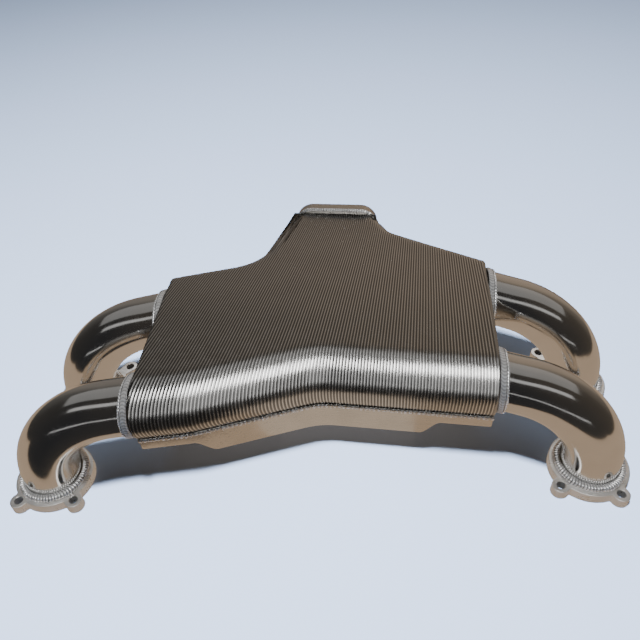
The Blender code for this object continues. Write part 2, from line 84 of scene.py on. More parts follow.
# Side of the engine (-1 left), row (-1 front), and degrees that the runner turns rearward in plan
RUNNERS = {
    "front_left": (-1, -1, 15.2),
    "rear_left": (-1, 1, 22.6),
    "front_right": (1, -1, 15.6),
    "rear_right": (1, 1, 21.7),
}
COLLAR_RADIUS = 31.5
COLLAR_LENGTH = 5.7
COLLAR_CLEAR = 0.8               # the side seam's bead stops this share of a collar radius from its axis
WELD_RIDGE = 2.4
WELD_BORE = TUBE_RADIUS + GAP
FLANGE_WELD_HEIGHT = 7.0
WALL_LINES = {-1: [(-169.5, -88.0), (-178.5, 115.0)], 1: [(171.0, -33.0), (171.0, 171.5)]}
WALL = 4.0
SEAM_Z = 70.0
TOP_FRONT = 129.5
TOP_NECK = 115.0
TOP_FALL_START = 40.0
NECK_END_Y = 258.0
BOTTOM_WING = 50.0
BOTTOM_CENTRE = 32.0
BOTTOM_STEPS = [(-122.0, -100.0), (101.0, 122.0)]
FRONT_ROUND = 36.0
REAR_ROUND = 18.0
SIDE_ROUND = 5.0
LOWER_ROUND = 6.0
FRONT_CORNERS = [(-175, -88, 0), (-118, -75, 90), (1, -28, 70), (171, -33, 0)]
REAR_CORNERS = [(-175, 115, 0), (-89, 150, 55), (-70, 258, 0), (52, 258, 0), (62, 231, 26), (171, 171.5, 0)]
# Mesh columns across the plenum, as first X, last X and count. Corners are X, Y and radius.
COLUMN_RUNS = [(-175, -124, 12), (-124, -92, 20), (-92, -70, 16), (-70, 52, 24), (52, 63, 10), (63, 101, 14),
               (101, 122, 14), (122, 171, 12)]
CAP_ROWS = 12                    # mesh rows over the flat top and bottom
PLAN_SPACING = 3.0
MERGE = 1e-6                     # points closer than this, in metres, become one
THROTTLE_X = -8.0
THROTTLE_Z = 73.5
THROTTLE_WIDTH = 104.0
THROTTLE_HEIGHT = 90.0
THROTTLE_CORNER = 22.0
THROTTLE_DEPTH = 18.0
THROTTLE_BORE = 35.0
THROTTLE_HOLE = (42.0, 35.0)
THROTTLE_HOLE_RADIUS = 2.5
THROTTLE_HOLE_DEPTH = 12.0
THROTTLE_WELD = 4.0
PASSAGE = (94.0, 70.0, 30.0)     # width, height and corner of the opening through the neck
PASSAGE_REACH = (14.0, 9.0)      # how far its cutter reaches ahead of the neck's end and behind it
QUARTERS = ((1, 1), (-1, 1), (-1, -1), (1, -1))    # signs of a plate's corners, in turn

# The design's Y is measured from the ports, the frame's from the middle of the box.
SHIFT_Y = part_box("throttle_flange")[1].y / MM - (NECK_END_Y + GAP + THROTTLE_DEPTH)

# ---- finish of the machined top
RIB_PITCH = 3.1                  # spacing of the cutter's passes at the front
RIB_DEPTH = 0.24
RIB_SAMPLES = 6                  # mesh columns in each pass
RIB_FOCUS = (127.0, 1515.0)      # the passes fan out from this point, far behind the throttle
RIB_REFERENCE_Y = -60.0          # where their spacing is measured
UNDER_ROWS = 8                   # mesh rows under the bullnose, on it, over the top and down the rear
NOSE_ROWS = 21
TOP_ROWS = 28
REAR_ROWS = 10
RIB_VARIATION = 0.14             # share by which the passes differ in depth
SKIN_EDGE = 1.8                  # rounding of the skin along the side walls
SKIN_THICKNESS = 0.8
SKIN_FLANGE = 1.6                # how far the skin turns down over the side walls
CORE_DEPTH = 1.2                 # the body under the skin is this much smaller
SMOOTH_BAND = (11.0, 17.0)       # the passes fade out between these distances from the rear outline
RIGHT_BAND = (2.0, 4.0)          # and from the right wall
NECK_TAPER_Y = 234.0             # the neck narrows from here to its end
NECK_TAPER = 0.14                # by this share of its width

# ---- finish of the tubes and welds
TUBE_SIDES = 72
BEND_STEPS = 30
STRAIGHT_STEPS = 4
RIPPLE_SAMPLES = 8               # mesh rings in each ripple
FLANGE_WELD_WIDTH = 8.0          # a little wider than the CAD's plain fillet
FLANGE_WELD_RIPPLES = 72
COLLAR_RIPPLES = 58
RIDGE_RIPPLES = 62
THROTTLE_RIPPLE = 3.0            # pitch of the ripples on the throttle flange's bead
THROTTLE_STEP = 0.42             # spacing of that bead's mesh rings
FRONT_RIPPLE = (4.4, 0.9)        # pitch and depth of the ripples on the seam's front bead
SEAM_RIPPLE = (3.2, 0.5)         # and on its other beads
FRONT_PROFILE = [(GAP, -3.8), (2.4, -3.4), (4.2, -1.6), (4.9, 0.9), (4.6, 2.8), (3.4, 3.6), (GAP, -0.4)]
SEAM_PROFILE = [(GAP, -2.6), (1.5, -2.2), (2.2, 0), (1.5, 2.2), (GAP, 2.6)]


def smooth_step(low, high, value):
    t = np.clip((value - low) / (high - low), 0, 1)
    return t * t * (3 - 2 * t)


def top_height(y):
    return TOP_FRONT + (TOP_NECK - TOP_FRONT) * smooth_step(TOP_FALL_START, NECK_END_Y, y)


def bottom_height(x):
    (down_start, down_end), (up_start, up_end) = BOTTOM_STEPS
    depth = smooth_step(down_start, down_end, x) * (1 - smooth_step(up_start, up_end, x))
    return BOTTOM_WING + (BOTTOM_CENTRE - BOTTOM_WING) * depth


def neck_taper(y):
    """Share of its width that the neck has lost at each Y of an array."""
    return NECK_TAPER * np.clip((y - NECK_TAPER_Y) / (NECK_END_Y - NECK_TAPER_Y), 0, 1) ** 2


def arc_length(path):
    """Distance along a path at each of its points."""
    return np.concatenate([[0], np.cumsum(np.linalg.norm(np.diff(path, axis=0), axis=1))])


def sampled(path, length, at):
    """Points of a plan path at these distances along it."""
    return np.stack([np.interp(at, length, path[:, k]) for k in range(2)], 1)


def unit_rows(vectors):
    return vectors / np.linalg.norm(vectors, axis=1)[:, None]


def loop_normals(loop):
    """Outward unit normals of a closed outline."""
    tangent = unit_rows(np.roll(loop, -1, axis=0) - np.roll(loop, 1, axis=0))
    return np.stack([tangent[:, 1], -tangent[:, 0]], 1)


def spokes_to(loop):
    """Unit directions from the middle to an outline's points."""
    turn = np.arctan2(loop[:, 1], loop[:, 0])
    return np.stack([np.cos(turn), np.sin(turn)], 1)


# ---- meshes
def new_object(name, data):
    """Puts a mesh, light or camera in the scene."""
    made = bpy.data.objects.new(name, data)
    bpy.context.scene.collection.objects.link(made)
    return made


def mark_crests(mesh, values):
    layer = mesh.attributes.new(CREST, "FLOAT", "POINT")
    layer.data.foreach_set("value", np.asarray(values, np.float32))


def to_object(name, parts, material, smooth_angle=35, marks=None):
    """One mesh object from closed shapes, each a pair of points in mm and faces. Marks hold one value for
    each point and are stored as the crest attribute. The neck is drawn in towards its end on the way."""
    points = np.vstack([np.asarray(verts, float) for verts, faces in parts])
    all_faces = []
    start = 0
    for verts, faces in parts:
        all_faces += [[start + i for i in face] for face in faces]
        start += len(verts)
    ahead_of_end = points[:, 1] <= NECK_END_Y + GAP / 2
    points[:, 0] += (THROTTLE_X - points[:, 0]) * neck_taper(points[:, 1]) * ahead_of_end
    points[:, 1] += SHIFT_Y
    mesh = bpy.data.meshes.new(name)
    mesh.from_pydata((points * MM).tolist(), [], all_faces)
    if marks is not None:
        mark_crests(mesh, marks)
    bm = bmesh.new()
    bm.from_mesh(mesh)
    bmesh.ops.remove_doubles(bm, verts=bm.verts, dist=MERGE)
    bmesh.ops.dissolve_degenerate(bm, edges=bm.edges, dist=MERGE)
    loose = [vertex for vertex in bm.verts if not vertex.link_faces]
    bmesh.ops.delete(bm, geom=loose, context="VERTS")
    bmesh.ops.recalc_face_normals(bm, faces=bm.faces)
    bm.to_mesh(mesh)
    bm.free()
    shade(mesh, smooth_angle)
    mesh.materials.append(material)
    return new_object(name, mesh)


def shade(mesh, smooth_angle):
    mesh.shade_smooth()
    mesh.set_sharp_from_angle(angle=math.radians(smooth_angle))


def place(piece, slot, *nodes):
    """Attaches a finished piece to the body and hides the CAD parts that it stands for."""
    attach(piece, BODY)
    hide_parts(*nodes)


def band(a, b, count):
    """Quads between two closed rings, whose points start at a and b."""
    return [(a + i, a + (i + 1) % count, b + (i + 1) % count, b + i) for i in range(count)]


def loft(rings, endless=False):
    """Points and quads through closed rings of equal length; endless joins last to first, else ends close."""
    rings = [np.asarray(ring, float) for ring in rings]
    count = len(rings[0])
    total = len(rings)
    faces = []
    for r in range(total if endless else total - 1):
        faces += band(r * count, (r + 1) % total * count, count)
    if not endless:
        faces.append(tuple(range(count)))
        faces.append(tuple(range((total - 1) * count, total * count)))
    return np.vstack(rings), faces


def cut(target, shapes, smooth_angle=35):
    """Cuts closed shapes out of an object."""
    cutters = []
    for shape in shapes:
        cutter = to_object("cutter", [shape], target.data.materials[0], smooth_angle=30)
        modifier = target.modifiers.new("cut", "BOOLEAN")
        modifier.operation = "DIFFERENCE"
        modifier.object = cutter
        cutters.append(cutter)
    bpy.context.view_layer.update()
    finished = bpy.data.meshes.new_from_object(target.evaluated_get(bpy.context.evaluated_depsgraph_get()))
    target.modifiers.clear()
    target.data = finished
    shade(finished, smooth_angle)
    for cutter in cutters:
        bpy.data.objects.remove(cutter)


def ring_points(centre, normal, across, radius, sides):
    up = across.cross(normal)
    turns = [math.tau * k / sides for k in range(sides)]
    return [centre + (across * math.cos(a) + up * math.sin(a)) * radius for a in turns]


def turned(centre, axis, profile, sides):
    """A closed turned shape: profile holds (distance along the axis, radius)."""
    axis = Vector(axis).normalized()
    across = axis.orthogonal().normalized()
    return loft([ring_points(Vector(centre) + axis * along, -axis, across, radius, sides)
                 for along, radius in profile])


# ---- the plenum's plan
def rounded_path(corners):
    """Plan points along straight runs joined by arcs; each corner is (x, y, radius)."""
    steps = 24
    points = []
    for i, (x, y, radius) in enumerate(corners):
        corner = Vector((x, y))
        if radius == 0:
            points.append(corner)
            continue
        before = (Vector(corners[i - 1][:2]) - corner).normalized()
        after = (Vector(corners[i + 1][:2]) - corner).normalized()
        half = before.angle(after) / 2
        reach = radius / math.tan(half)
        centre = corner + (before + after).normalized() * (radius / math.sin(half))
        start = corner + before * reach - centre
        turn = start.angle_signed(corner + after * reach - centre)
        for k in range(steps + 1):
            points.append(centre + Matrix.Rotation(-turn * k / steps, 2) @ start)
    return points


def outline(corners, start_reach, end_reach):
    """A plan path as an array with its end runs made longer, and points at an even spacing."""
    path = np.array([tuple(point) for point in rounded_path(corners)])
    first = path[0] + (path[0] - path[1]) / np.linalg.norm(path[0] - path[1]) * start_reach
    last = path[-1] + (path[-1] - path[-2]) / np.linalg.norm(path[-1] - path[-2]) * end_reach
    path = np.vstack([first, path, last])
    length = arc_length(path)
    return sampled(path, length, np.linspace(0, length[-1], int(length[-1] / PLAN_SPACING)))


def offset(path, distance):
    """The path moved to the left of its direction."""
    tangent = unit_rows(np.gradient(path, axis=0))
    return path + np.stack([-tangent[:, 1], tangent[:, 0]], 1) * distance


def wall_plane(side):
    """A point on a side wall's plan line, and the wall's outward normal."""
    start, end = (Vector(point) for point in WALL_LINES[side])
    along = (end - start).normalized()
    return start, Vector((along.y, -along.x)) * side


def reach_wall(point, direction, side, out):
    """Moves a plan point along a direction until it is this far outside a side wall."""
    start, normal = wall_plane(side)
    return point + direction * ((out - (point - start).dot(normal)) / direction.dot(normal))


def wall_spot(side, y):
    """The plan point of a side wall at one Y."""
    start, end = (Vector(point) for point in WALL_LINES[side])
    return start.lerp(end, (y - start.y) / (end.y - start.y))


def wall_x(side, y):
    """X of a side wall at each Y of an array."""
    (x0, y0), (x1, y1) = WALL_LINES[side]
    return x0 + (x1 - x0) * (y - y0) / (y1 - y0)


def bullnose_inset(below, radius):
    """Inset of the front bullnose, a circle that carries on past its widest level down to the seam."""
    return radius - math.sqrt(max(radius ** 2 - (radius - below) ** 2, 0))


def round_inset(below, radius):
    """How far a quarter-round edge has drawn in at a level this far below its crown."""
    return 0 if below >= radius else bullnose_inset(below, radius)


class Plan:
    """The plenum's plan: front and rear chains on shared columns, with flat sides between them."""

    def __init__(self):
        columns = [float(COLUMN_RUNS[0][0])]
        for start, end, count in COLUMN_RUNS:
            columns += [start + (end - start) * k / count for k in range(1, count + 1)]
        self.front = self.chain(FRONT_CORNERS, columns)
        self.rear = self.chain(REAR_CORNERS, columns)
        self.neck_left, self.neck_right = (
            min(range(len(columns)), key=lambda i: abs(columns[i] - x)) for x, y, radius in REAR_CORNERS[2:4])

    @staticmethod
    def chain(corners, columns):
        path = np.array([tuple(point) for point in rounded_path(corners)])
        order = np.argsort(path[:, 0], kind="stable")
        return [Vector((x, np.interp(x, path[order, 0], path[order, 1]))) for x in columns]

    @staticmethod
    def inward(chain, i, side, low, high):
        """Unit normal of a chain at point i, towards the inside; side is +1 on the front chain."""
        along = (chain[min(i + 1, high)] - chain[max(i - 1, low)]).normalized()
        return Vector((-along.y, along.x)) * side

    def ring(self, inset, side_inset, end_inset):
        """Points of the plan drawn in by inset(point, is_front), walls by side_inset and the neck's end."""
        last = len(self.front) - 1
        front = [point + self.inward(self.front, i, 1, 0, last) * inset(point, True)
                 for i, point in enumerate(self.front)]
        rear = []
        for i, point in enumerate(self.rear):
            if self.neck_left < i < self.neck_right:
                rear.append(point.copy())
                continue
            low, high = (0, self.neck_left) if i <= self.neck_left else (self.neck_right, last)
            rear.append(point + self.inward(self.rear, i, -1, low, high) * inset(point, False))
        for chain, base in ((front, self.front), (rear, self.rear)):
            self.meet_wall(chain, 0, 1, -1, side_inset(base[0]))
            self.meet_wall(chain, last, -1, 1, side_inset(base[last]))
        end_y = NECK_END_Y - end_inset
        for i, beside in ((self.neck_left, self.neck_left - 1), (self.neck_right, self.neck_right + 1)):
            slope = rear[i] - rear[beside]
            rear[i] = rear[beside] + slope * ((end_y - rear[beside].y) / slope.y)
        span = self.neck_right - self.neck_left
        for i in range(self.neck_left + 1, self.neck_right):
            rear[i] = rear[self.neck_left].lerp(rear[self.neck_right], (i - self.neck_left) / span)
        right = [front[-1].lerp(rear[-1], k / CAP_ROWS) for k in range(1, CAP_ROWS)]
        left = [rear[0].lerp(front[0], k / CAP_ROWS) for k in range(1, CAP_ROWS)]
        return front + right + rear[::-1] + left

    @staticmethod
    def meet_wall(chain, end, step, side, inset):
        """Ends a chain on a side wall, and spreads the points near it clear of the wall."""
        start, normal = wall_plane(side)
        beside = end + step
        while (chain[beside] - start).dot(normal) > -inset - 0.3:
            beside += step
        slope = chain[beside] - chain[beside + step]
        corner = reach_wall(chain[beside], slope, side, -inset)
        for k in range(end, beside, step):
            chain[k] = corner.lerp(chain[beside], (k - end) / (beside - end))


def shell(plan, outer, inner, outer_height, inner_height):
    """A closed shell from contours of its outer and inner skins, seam first, with a grid over each crown."""
    points = []
    faces = []
    columns = len(plan.front)
    seams = []
    for levels, height in ((outer, outer_height), (inner, inner_height)):
        count = len(levels[0])
        first = len(points)
        seams.append(first)
        for level in levels:
            points += [tuple(p) for p in level]
        for r in range(len(levels) - 1):
            faces += band(first + r * count, first + (r + 1) * count, count)
        crown = list(range(first + (len(levels) - 1) * count, first + len(levels) * count))
        rear = crown[columns + CAP_ROWS - 1:2 * columns + CAP_ROWS - 1][::-1]
        right = crown[columns:columns + CAP_ROWS - 1]
        left = crown[2 * columns + CAP_ROWS - 1:][::-1]
        rows = [crown[:columns]]
        for k in range(1, CAP_ROWS):
            row = [left[k - 1]]
            for i in range(1, columns - 1):
                spot = Vector(points[rows[0][i]]).lerp(Vector(points[rear[i]]), k / CAP_ROWS)
                row.append(len(points))
                points.append((spot.x, spot.y, float(height(spot))))
            rows.append(row + [right[k - 1]])
        rows.append(rear)
        for low, high in zip(rows, rows[1:]):
            for i in range(columns - 1):
                faces.append((low[i], low[i + 1], high[i + 1], high[i]))
    return points, faces + band(*seams, len(outer[0]))


def upper_level(plan, depth, side_depth, wall_share=None, angle=None):
    """One contour of the upper half, depth inside its surface and side_depth inside its side walls, given by
    its share of the wall below the bullnose's widest level, or by the angle above that level."""
    nose = FRONT_ROUND - depth
    seam = SEAM_Z + GAP / 2

    def level_z(y):
        crown = float(top_height(y)) - depth
        if angle is not None:
            return crown - nose * (1 - math.sin(math.radians(angle)))
        return seam + (crown - nose - seam) * wall_share

    def inset(point, is_front):
        below = float(top_height(point.y)) - depth - level_z(point.y)
        if is_front:
            return depth + bullnose_inset(below, nose)
        return depth + round_inset(below, REAR_ROUND - depth)

    def side_inset(point):
        below = float(top_height(point.y)) - depth - level_z(point.y)
        return side_depth + round_inset(below, max(SIDE_ROUND - side_depth, GAP))

    return [(p.x, p.y, level_z(p.y)) for p in plan.ring(inset, side_inset, depth)]


def lower_level(plan, depth, share=None, angle=None):
    """One contour of the lower half: a share of the wall below the seam, or an angle into its bottom edge."""
    edge = LOWER_ROUND - depth / 2
    seam = SEAM_Z - GAP / 2
    seam_inset = bullnose_inset(TOP_FRONT - SEAM_Z, FRONT_ROUND)
    bend = 0 if angle is None else edge * (1 - math.cos(math.radians(angle)))

    def level_z(x):
        floor = float(bottom_height(x)) + depth
        if angle is not None:
            return floor + edge * (1 - math.sin(math.radians(angle)))
        return seam + (floor + edge - seam) * share

    def inset(point, is_front):
        return depth + bend + (seam_inset if is_front else 0)

    def side_inset(point):
        return depth + bend

    return [(p.x, p.y, level_z(p.x)) for p in plan.ring(inset, side_inset, depth)]


def rounded_rectangle(width, height, corner, steps=16):
    """Points of a rounded rectangle around the throttle's axis, as (x, z)."""
    points = []
    for quarter, (sx, sz) in enumerate(QUARTERS):
        cx = THROTTLE_X + sx * (width / 2 - corner)
        cz = THROTTLE_Z + sz * (height / 2 - corner)
        for k in range(steps + 1):
            angle = math.radians(90 * (quarter + k / steps))
            points.append((cx + corner * math.cos(angle), cz + corner * math.sin(angle)))
    return points


def throttle_outline(inset=0, steps=20):
    """The throttle flange's outline, drawn in by inset."""
    return np.array(rounded_rectangle(
        THROTTLE_WIDTH - 2 * inset, THROTTLE_HEIGHT - 2 * inset, THROTTLE_CORNER - inset, steps))


def neck_passage():
    ends = (NECK_END_Y - PASSAGE_REACH[0], NECK_END_Y + PASSAGE_REACH[1])
    return loft([[(x, y, z) for x, z in rounded_rectangle(*PASSAGE)] for y in ends])


# ---- the machined skin
def fan_coordinate(x, y):
    """Where the cutter's pass through a point crosses the reference line."""
    return RIB_FOCUS[0] + (x - RIB_FOCUS[0]) * (RIB_FOCUS[1] - RIB_REFERENCE_Y) / (RIB_FOCUS[1] - y)


def fan_x(u, y):
    return RIB_FOCUS[0] + (u - RIB_FOCUS[0]) * (RIB_FOCUS[1] - y) / (RIB_FOCUS[1] - RIB_REFERENCE_Y)


def fan_wall_y(u, side):
    """Y where each of the fan's lines crosses a side wall."""
    (x0, y0), (x1, y1) = WALL_LINES[side]
    run = (u - RIB_FOCUS[0]) / (RIB_FOCUS[1] - RIB_REFERENCE_Y)
    slope = (x1 - x0) / (y1 - y0)
    return (RIB_FOCUS[0] + run * RIB_FOCUS[1] - x0 + slope * y0) / (slope + run)


def path_y(path, u):
    """Y of a plan path on each of the fan's lines."""
    along = fan_coordinate(path[:, 0], path[:, 1])
    order = np.argsort(along)
    return np.interp(u, along[order], path[order, 1])


def distance_to(path, points):
    """Distance of each point to a plan path."""
    best = np.full(len(points), np.inf)
    for a, b in zip(path, path[1:]):
        run = b - a
        t = np.clip(((points - a) @ run) / (run @ run), 0, 1)
        best = np.minimum(best, np.linalg.norm(points - (a + t[:, None] * run), axis=1))
    return best


def machined_skin():
    """The ribbed skin over the upper half, as a closed thin body. Its columns follow the cutter's passes; its
    rows run from the seam over the bullnose and the top, and down the rear to the seam again."""
    front_path = outline(FRONT_CORNERS, 90, 60)
    left_path = outline(REAR_CORNERS[:3], 60, 40)
    right_path = outline(REAR_CORNERS[3:], 40, 60)
    seam = SEAM_Z + GAP / 2
    seam_angle = math.asin((seam - (TOP_FRONT - FRONT_ROUND)) / FRONT_ROUND)
    under_angles = np.linspace(seam_angle, 0, UNDER_ROWS)[:-1]
    over_angles = np.radians(np.linspace(0, 90, NOSE_ROWS))
    rear_angles = np.radians(np.linspace(90, 0, REAR_ROWS))
    top_shares = np.linspace(0, 1, TOP_ROWS)[1:-1]
    step = RIB_PITCH / RIB_SAMPLES
    first = fan_coordinate(*WALL_LINES[-1][1])
    last = fan_coordinate(*WALL_LINES[1][1])
    columns = np.arange(math.ceil(first / step), math.floor(last / step) + 1)
    u = columns * step
    wall_y = np.where(u < RIB_FOCUS[0], fan_wall_y(u, -1), fan_wall_y(u, 1))

    def nose_row(angle):
        y = path_y(offset(front_path, FRONT_ROUND * (1 - math.cos(angle))), u)
        return y, np.full(len(u), TOP_FRONT - FRONT_ROUND * (1 - math.sin(angle)))

    def rear_row(angle):
        inset = REAR_ROUND * (1 - math.cos(angle))
        left = offset(left_path, -inset)
        right = offset(right_path, -inset)
        y = np.full(len(u), NECK_END_Y)
        beside_left = u < fan_coordinate(left[-1, 0], left[-1, 1])
        beside_right = u > fan_coordinate(right[0, 0], right[0, 1])
        y[beside_left] = path_y(left, u[beside_left])
        y[beside_right] = path_y(right, u[beside_right])
        y = np.minimum(y, NECK_END_Y)
        fall = np.where(y < NECK_END_Y, REAR_ROUND * (1 - math.sin(angle)), 0)
        return y, top_height(y) - fall

    under = [nose_row(angle) for angle in under_angles]
    over = [nose_row(angle) for angle in over_angles]
    rear = [rear_row(angle) for angle in rear_angles]
    top = []
    for share in top_shares:
        y = over[-1][0] + (rear[0][0] - over[-1][0]) * (0.4 * share + 0.6 * share ** 2)
        top.append((y, top_height(y)))
    end_y, end_z = rear[-1]
    rows = over + top + rear + [(end_y, np.where(end_y < NECK_END_Y, seam, end_z))]
    y, z = (np.array([row[k] for row in rows]) for k in range(2))
    tilt = np.concatenate([over_angles, np.full(len(top), math.pi / 2), math.pi - rear_angles, [math.pi]])
    tilt = np.repeat(tilt[:, None], len(u), axis=1)
    tilt[y >= NECK_END_Y] = math.pi / 2
    under_y, under_z = (np.array([row[k] for row in under]) for k in range(2))
    under_tilt = np.repeat(under_angles[:, None], len(u), axis=1)
    count = y.shape[0] - 1
    turned_down = np.zeros(under_y.shape)
    for j in range(len(u)):
        if wall_y[j] <= y[0, j]:
            continue
        wall_z = np.interp(wall_y[j], y[:count, j], z[:count, j])
        wall_tilt = np.interp(wall_y[j], y[:count, j], tilt[:count, j])
        outside = y[:, j] < wall_y[j]
        y[outside, j] = wall_y[j]
        z[outside, j] = wall_z
        tilt[outside, j] = wall_tilt
        outside = under_y[:, j] < wall_y[j]
        if wall_y[j] < under_y[0, j]:
            wall_low = np.interp(-wall_y[j], -under_y[:, j], under_z[:, j])
            under_z[outside, j] = np.clip(under_z[outside, j], wall_low, wall_z)
        else:
            under_z[outside, j] = wall_z
            turned_down[:, j] = np.linspace(SKIN_FLANGE, 0, len(under))
        under_tilt[outside, j] = wall_tilt
        under_y[outside, j] = wall_y[j]
    y = np.vstack([under_y, y])
    z = np.vstack([under_z, z])
    tilt = np.vstack([under_tilt, tilt])
    turned_down = np.vstack([turned_down, np.zeros((count + 1, len(u)))])
    x = np.clip(fan_x(u[None, :], y), wall_x(-1, y), wall_x(1, y))

    edge = np.clip(np.minimum(x - wall_x(-1, y), wall_x(1, y) - x), 0, SKIN_EDGE)
    flat = np.stack([x.ravel(), y.ravel()], 1)
    to_rear = np.minimum(distance_to(left_path, flat), distance_to(right_path, flat)).reshape(x.shape)
    ribbed = smooth_step(*SMOOTH_BAND, to_rear) * smooth_step(*RIGHT_BAND, wall_x(1, y) - x)
    phase = columns % RIB_SAMPLES / RIB_SAMPLES
    passes = columns // RIB_SAMPLES
    variation = 1 + RIB_VARIATION * np.sin(passes * 12.9898) * np.cos(passes * 4.37)
    drop = SKIN_EDGE - np.sqrt(SKIN_EDGE ** 2 - (SKIN_EDGE - edge) ** 2)
    drop = drop + RIB_DEPTH * (variation * 4 * phase * (1 - phase))[None, :] * ribbed
    y = y + np.cos(tilt) * drop
    z = z - np.sin(tilt) * drop - turned_down
    outer = np.stack([x, y, z], -1)
    inner = outer.copy()
    inner[..., 0] = np.clip(x, wall_x(-1, y) + SKIN_THICKNESS, wall_x(1, y) - SKIN_THICKNESS)
    inner[..., 1] += np.cos(tilt) * SKIN_THICKNESS
    inner[..., 2] -= np.sin(tilt) * SKIN_THICKNESS
    return closed_sheet(outer, inner)


def mark_cusps(skin):
    """Marks the skin with how close each of its points lies to a cusp between two passes, 0 to 1."""
    mesh = skin.data
    flat = np.empty(len(mesh.vertices) * 3)
    mesh.vertices.foreach_get("co", flat)
    x, y = (flat.reshape(-1, 3)[:, :2] / MM).T
    y = y - SHIFT_Y
    taper = neck_taper(y)
    x = (x - THROTTLE_X * taper) / (1 - taper)
    phase = fan_coordinate(x, y) / RIB_PITCH % 1
    spots = np.stack([x, y], 1)
    edges = [distance_to(outline(corners, 60, 40), spots) for corners in (REAR_CORNERS[:3], REAR_CORNERS[3:])]
    ribbed = smooth_step(*SMOOTH_BAND, np.minimum(*edges)) * smooth_step(*RIGHT_BAND, wall_x(1, y) - x)
    # This value paints thin highlights along the cusps and shade in the grooves between them.
    cusp = np.clip(np.abs(2 * phase - 1), 0, 1) ** 2.5 * ribbed + 0.35 * (1 - ribbed)
    mark_crests(mesh, cusp)


def closed_sheet(outer, inner):
    """Points and quads of a thin body between two grids of equal size."""
    rows, columns = outer.shape[:2]
    index = np.arange(rows * columns).reshape(rows, columns)
    quads = np.stack([index[:-1, :-1], index[:-1, 1:], index[1:, 1:], index[1:, :-1]], -1).reshape(-1, 4)
    rim = np.concatenate([index[0, :-1], index[:-1, -1], index[-1, :0:-1], index[:0:-1, 0]])
    beside = np.roll(rim, -1)
    below = rows * columns
    sides = np.stack([beside, rim, rim + below, beside + below], -1)
    faces = np.vstack([quads, quads[:, ::-1] + below, sides])
    return np.vstack([outer.reshape(-1, 3), inner.reshape(-1, 3)]), faces.tolist()


# ---- runners, flanges and welds
def port_centre(side, row):
    return Vector((side * PORT_X, row * PORT_SPACING / 2 + side * BANK_STAGGER / 2, 0))


def runner_direction(side, angle):
    """Horizontal direction of a runner as it goes into the plenum."""
    turn = math.radians(angle)
    return Vector((-side * math.cos(turn), math.sin(turn), 0))


def runner_entry(side, row, angle):
    """Where a runner's axis meets the plenum's side wall."""
    direction = runner_direction(side, angle)
    start = port_centre(side, row) + direction * BEND_RADIUS
    plan_point = reach_wall(start.xy, direction.xy, side, 0)
    return Vector((plan_point.x, plan_point.y, RUNNER_HEIGHT))


def slide_to_wall(point, direction, side, out):
    """Slides a point along the tube until it is this far outside the side wall."""
    plan_point = reach_wall(point.xy, direction.xy, side, out)
    return Vector((plan_point.x, plan_point.y, point.z))


def runner_rings(side, row, angle, radius):
    """Rings of a runner's surface from the port flange to the plenum wall."""
    direction = runner_direction(side, angle)
    across = UP.cross(direction)
    base = port_centre(side, row)
    leg_top = RUNNER_HEIGHT - BEND_RADIUS
    rings = [ring_points(base + UP * (FLANGE_THICKNESS + GAP), UP, across, radius, TUBE_SIDES)]
    for k in range(BEND_STEPS + 1):
        turn = math.pi / 2 * k / BEND_STEPS
        centre = base + direction * BEND_RADIUS * (1 - math.cos(turn))
        centre.z = leg_top + BEND_RADIUS * math.sin(turn)
        normal = UP * math.cos(turn) + direction * math.sin(turn)
        rings.append(ring_points(centre, normal, across, radius, TUBE_SIDES))
    bend_end = rings[-1]
    wall = [slide_to_wall(point, direction, side, GAP) for point in bend_end]
    for k in range(1, STRAIGHT_STEPS + 1):
        rings.append([a.lerp(b, k / STRAIGHT_STEPS) for a, b in zip(bend_end, wall)])
    return rings


def runner(name, side, row, angle, finish):
    outer = runner_rings(side, row, angle, TUBE_RADIUS)
    inner = runner_rings(side, row, angle, TUBE_BORE)
    return to_object(name, [loft(outer + inner[::-1], endless=True)], finish, smooth_angle=40)


def ripple(phase):
    """Height of one weld ripple over its length, 0 to 1: a slow rise to a rounded step."""
    return np.sin(np.pi * np.clip(phase, 0, 1) ** 1.4) ** 0.8


def hashed(number):
    """A repeatable value from 0 to 1 for a whole number."""
    return math.modf(abs(math.sin(number * 12.9898 + 4.1414) * 43758.5453))[0]


def bead_height(distance, across, pitch, seed):
    """Ripple height of a bead at a distance along it; across is -1 to 1 from toe to toe, and the ripples
    curve back towards the toes."""
    at = distance / pitch + 0.55 * across * across
    number = math.floor(at)
    strength = 0.75 + 0.5 * hashed(number + seed)
    return float(ripple(at - number)) * strength


def bead(name, count, steps, spot, finish, endless=True):
    """A rippled body of rings; spot(k, p) gives point p of ring k and its mark."""
    grid = [[spot(k, p) for p in range(steps)] for k in range(count)]
    rings = [[point for point, mark in ring] for ring in grid]
    marks = [mark for ring in grid for point, mark in ring]
    return to_object(name, [loft(rings, endless)], finish, smooth_angle=60, marks=marks)


